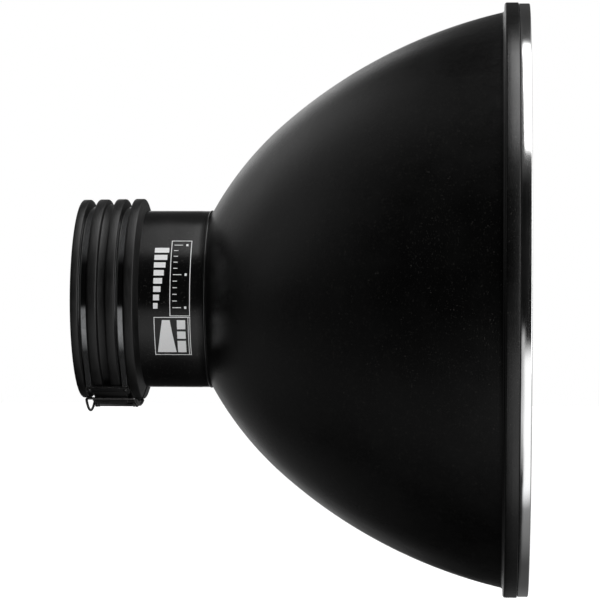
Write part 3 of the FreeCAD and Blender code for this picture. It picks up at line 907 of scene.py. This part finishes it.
# The studio's brightness round the X axis: degrees from -Y, up being positive, and brightness.
# FAR is the direction of the collar along the axis and FRONT that of the rim; BEHIND, LEAN,
# BESIDE, MIDDLE and AHEAD lie between them in that order.
STUDIO_PEAK = 4.0
MIDDLE = (
    (-180, 0.14), (-165, 0.14), (-143, 0.07), (-120, 0.06), (-102, 0.17), (-86, 0.24),
    (-76, 1.1), (-45, 1.15), (-22, 1.1), (-15, 0.005), (44, 0.004), (57, 0.06), (62, 4.0),
    (109, 4.0), (117, 0.05), (140, 0.04), (165, 0.06), (180, 0.08),
)
BESIDE = (
    (-180, 1.0), (-173, 1.0), (-163, 0.015), (-100, 0.01), (-70, 0.02), (-62, 0.25), (-45, 0.60),
    (-14, 0.50), (-9, 0.004), (44, 0.004), (60, 0.10), (112, 0.10), (135, 0.06), (160, 0.08),
    (171, 1.0), (180, 1.0),
)
BEHIND = (
    (-180, 0.003), (-171, 0.17), (-160, 0.17), (-145, 0.11), (-130, 0.063), (-100, 0.028),
    (-60, 0.12), (-30, 0.029), (0, 0.003), (40, 0.003), (75, 0.067), (95, 0.19), (110, 0.22),
    (125, 0.4), (140, 0.58), (150, 0.42), (160, 0.31), (171, 0.28), (180, 0.003),
)
LEAN = (
    (-180, 0.025), (-172, 0.44), (-165, 0.49), (-155, 0.19), (-145, 0.021), (-130, 0.01),
    (-100, 0.003), (-70, 0.086), (-40, 0.24), (-15, 0.038), (0, 0.003), (20, 0.006),
    (40, 0.008), (60, 0.006), (80, 0.053), (100, 0.023), (120, 0.01), (135, 0.027), (145, 0.02),
    (155, 0.73), (165, 1.16), (172, 0.56), (180, 0.22),
)
FAR = (
    (-180, 0.05), (-150, 0.061), (-120, 0.17), (-60, 0.081), (0, 0.05), (45, 0.1), (90, 0.36),
    (120, 0.21), (150, 0.05), (180, 0.18),
)
AHEAD = (
    (-180, 0.3), (-100, 0.15), (-60, 0.2), (-32, 0.4), (-22, 3.6), (0, 3.9), (35, 3.4), (60, 1.6),
    (110, 1.6), (150, 0.3), (180, 0.3),
)
FRONT = (
    (-180, 0.30), (-120, 0.22), (-70, 0.65), (-30, 0.90), (0, 0.45), (25, 0.25), (60, 1.00),
    (115, 1.00), (145, 0.30), (180, 0.30),
)


# Each ramp after FAR, and the directions' X components between which it takes over.
STUDIO_ZONES = (
    (BEHIND, -0.95, -0.75),
    (LEAN, -0.55, -0.33),
    (BESIDE, -0.20, -0.14),
    (MIDDLE, -0.075, -0.028),
    (AHEAD, 0.28, 0.36),
    (FRONT, 0.56, 0.70),
)


def make_studio():
    """Soft light from all round as the ramps say, and plain white for the camera."""
    world = bpy.data.worlds.new("studio")
    world.use_nodes = True
    world.node_tree.nodes.clear()
    nodes = Nodes(world.node_tree)
    split = nodes.add("ShaderNodeSeparateXYZ")
    nodes.feed(split.inputs[0], nodes.add("ShaderNodeTexCoord").outputs["Generated"])
    along, across, up = split.outputs
    angle = nodes.math("ARCTAN2", up, nodes.math("MULTIPLY", across, -1.0))
    turn = nodes.between(angle, -math.pi, math.pi)

    def lit(stops):
        return nodes.tint(turn, *(((degrees + 180) / 360, bright / STUDIO_PEAK)
                                  for degrees, bright in stops))

    light = lit(FAR)
    for stops, low, high in STUDIO_ZONES:
        light = nodes.blend(nodes.between(along, low, high), light, lit(stops))
    studio = nodes.add("ShaderNodeBackground")
    nodes.feed(studio.inputs[0], light)
    nodes.feed(studio.inputs[1], STUDIO_PEAK)
    white = nodes.add("ShaderNodeBackground")
    nodes.feed(white.inputs[0], (1, 1, 1, 1))
    choose = nodes.add("ShaderNodeMixShader")
    nodes.feed(choose.inputs[0], nodes.add("ShaderNodeLightPath").outputs["Is Camera Ray"])
    nodes.feed(choose.inputs[1], studio.outputs[0])
    nodes.feed(choose.inputs[2], white.outputs[0])
    nodes.feed(nodes.add("ShaderNodeOutputWorld").inputs[0], choose.outputs[0])
    scene.world = world


make_floor()
make_studio()
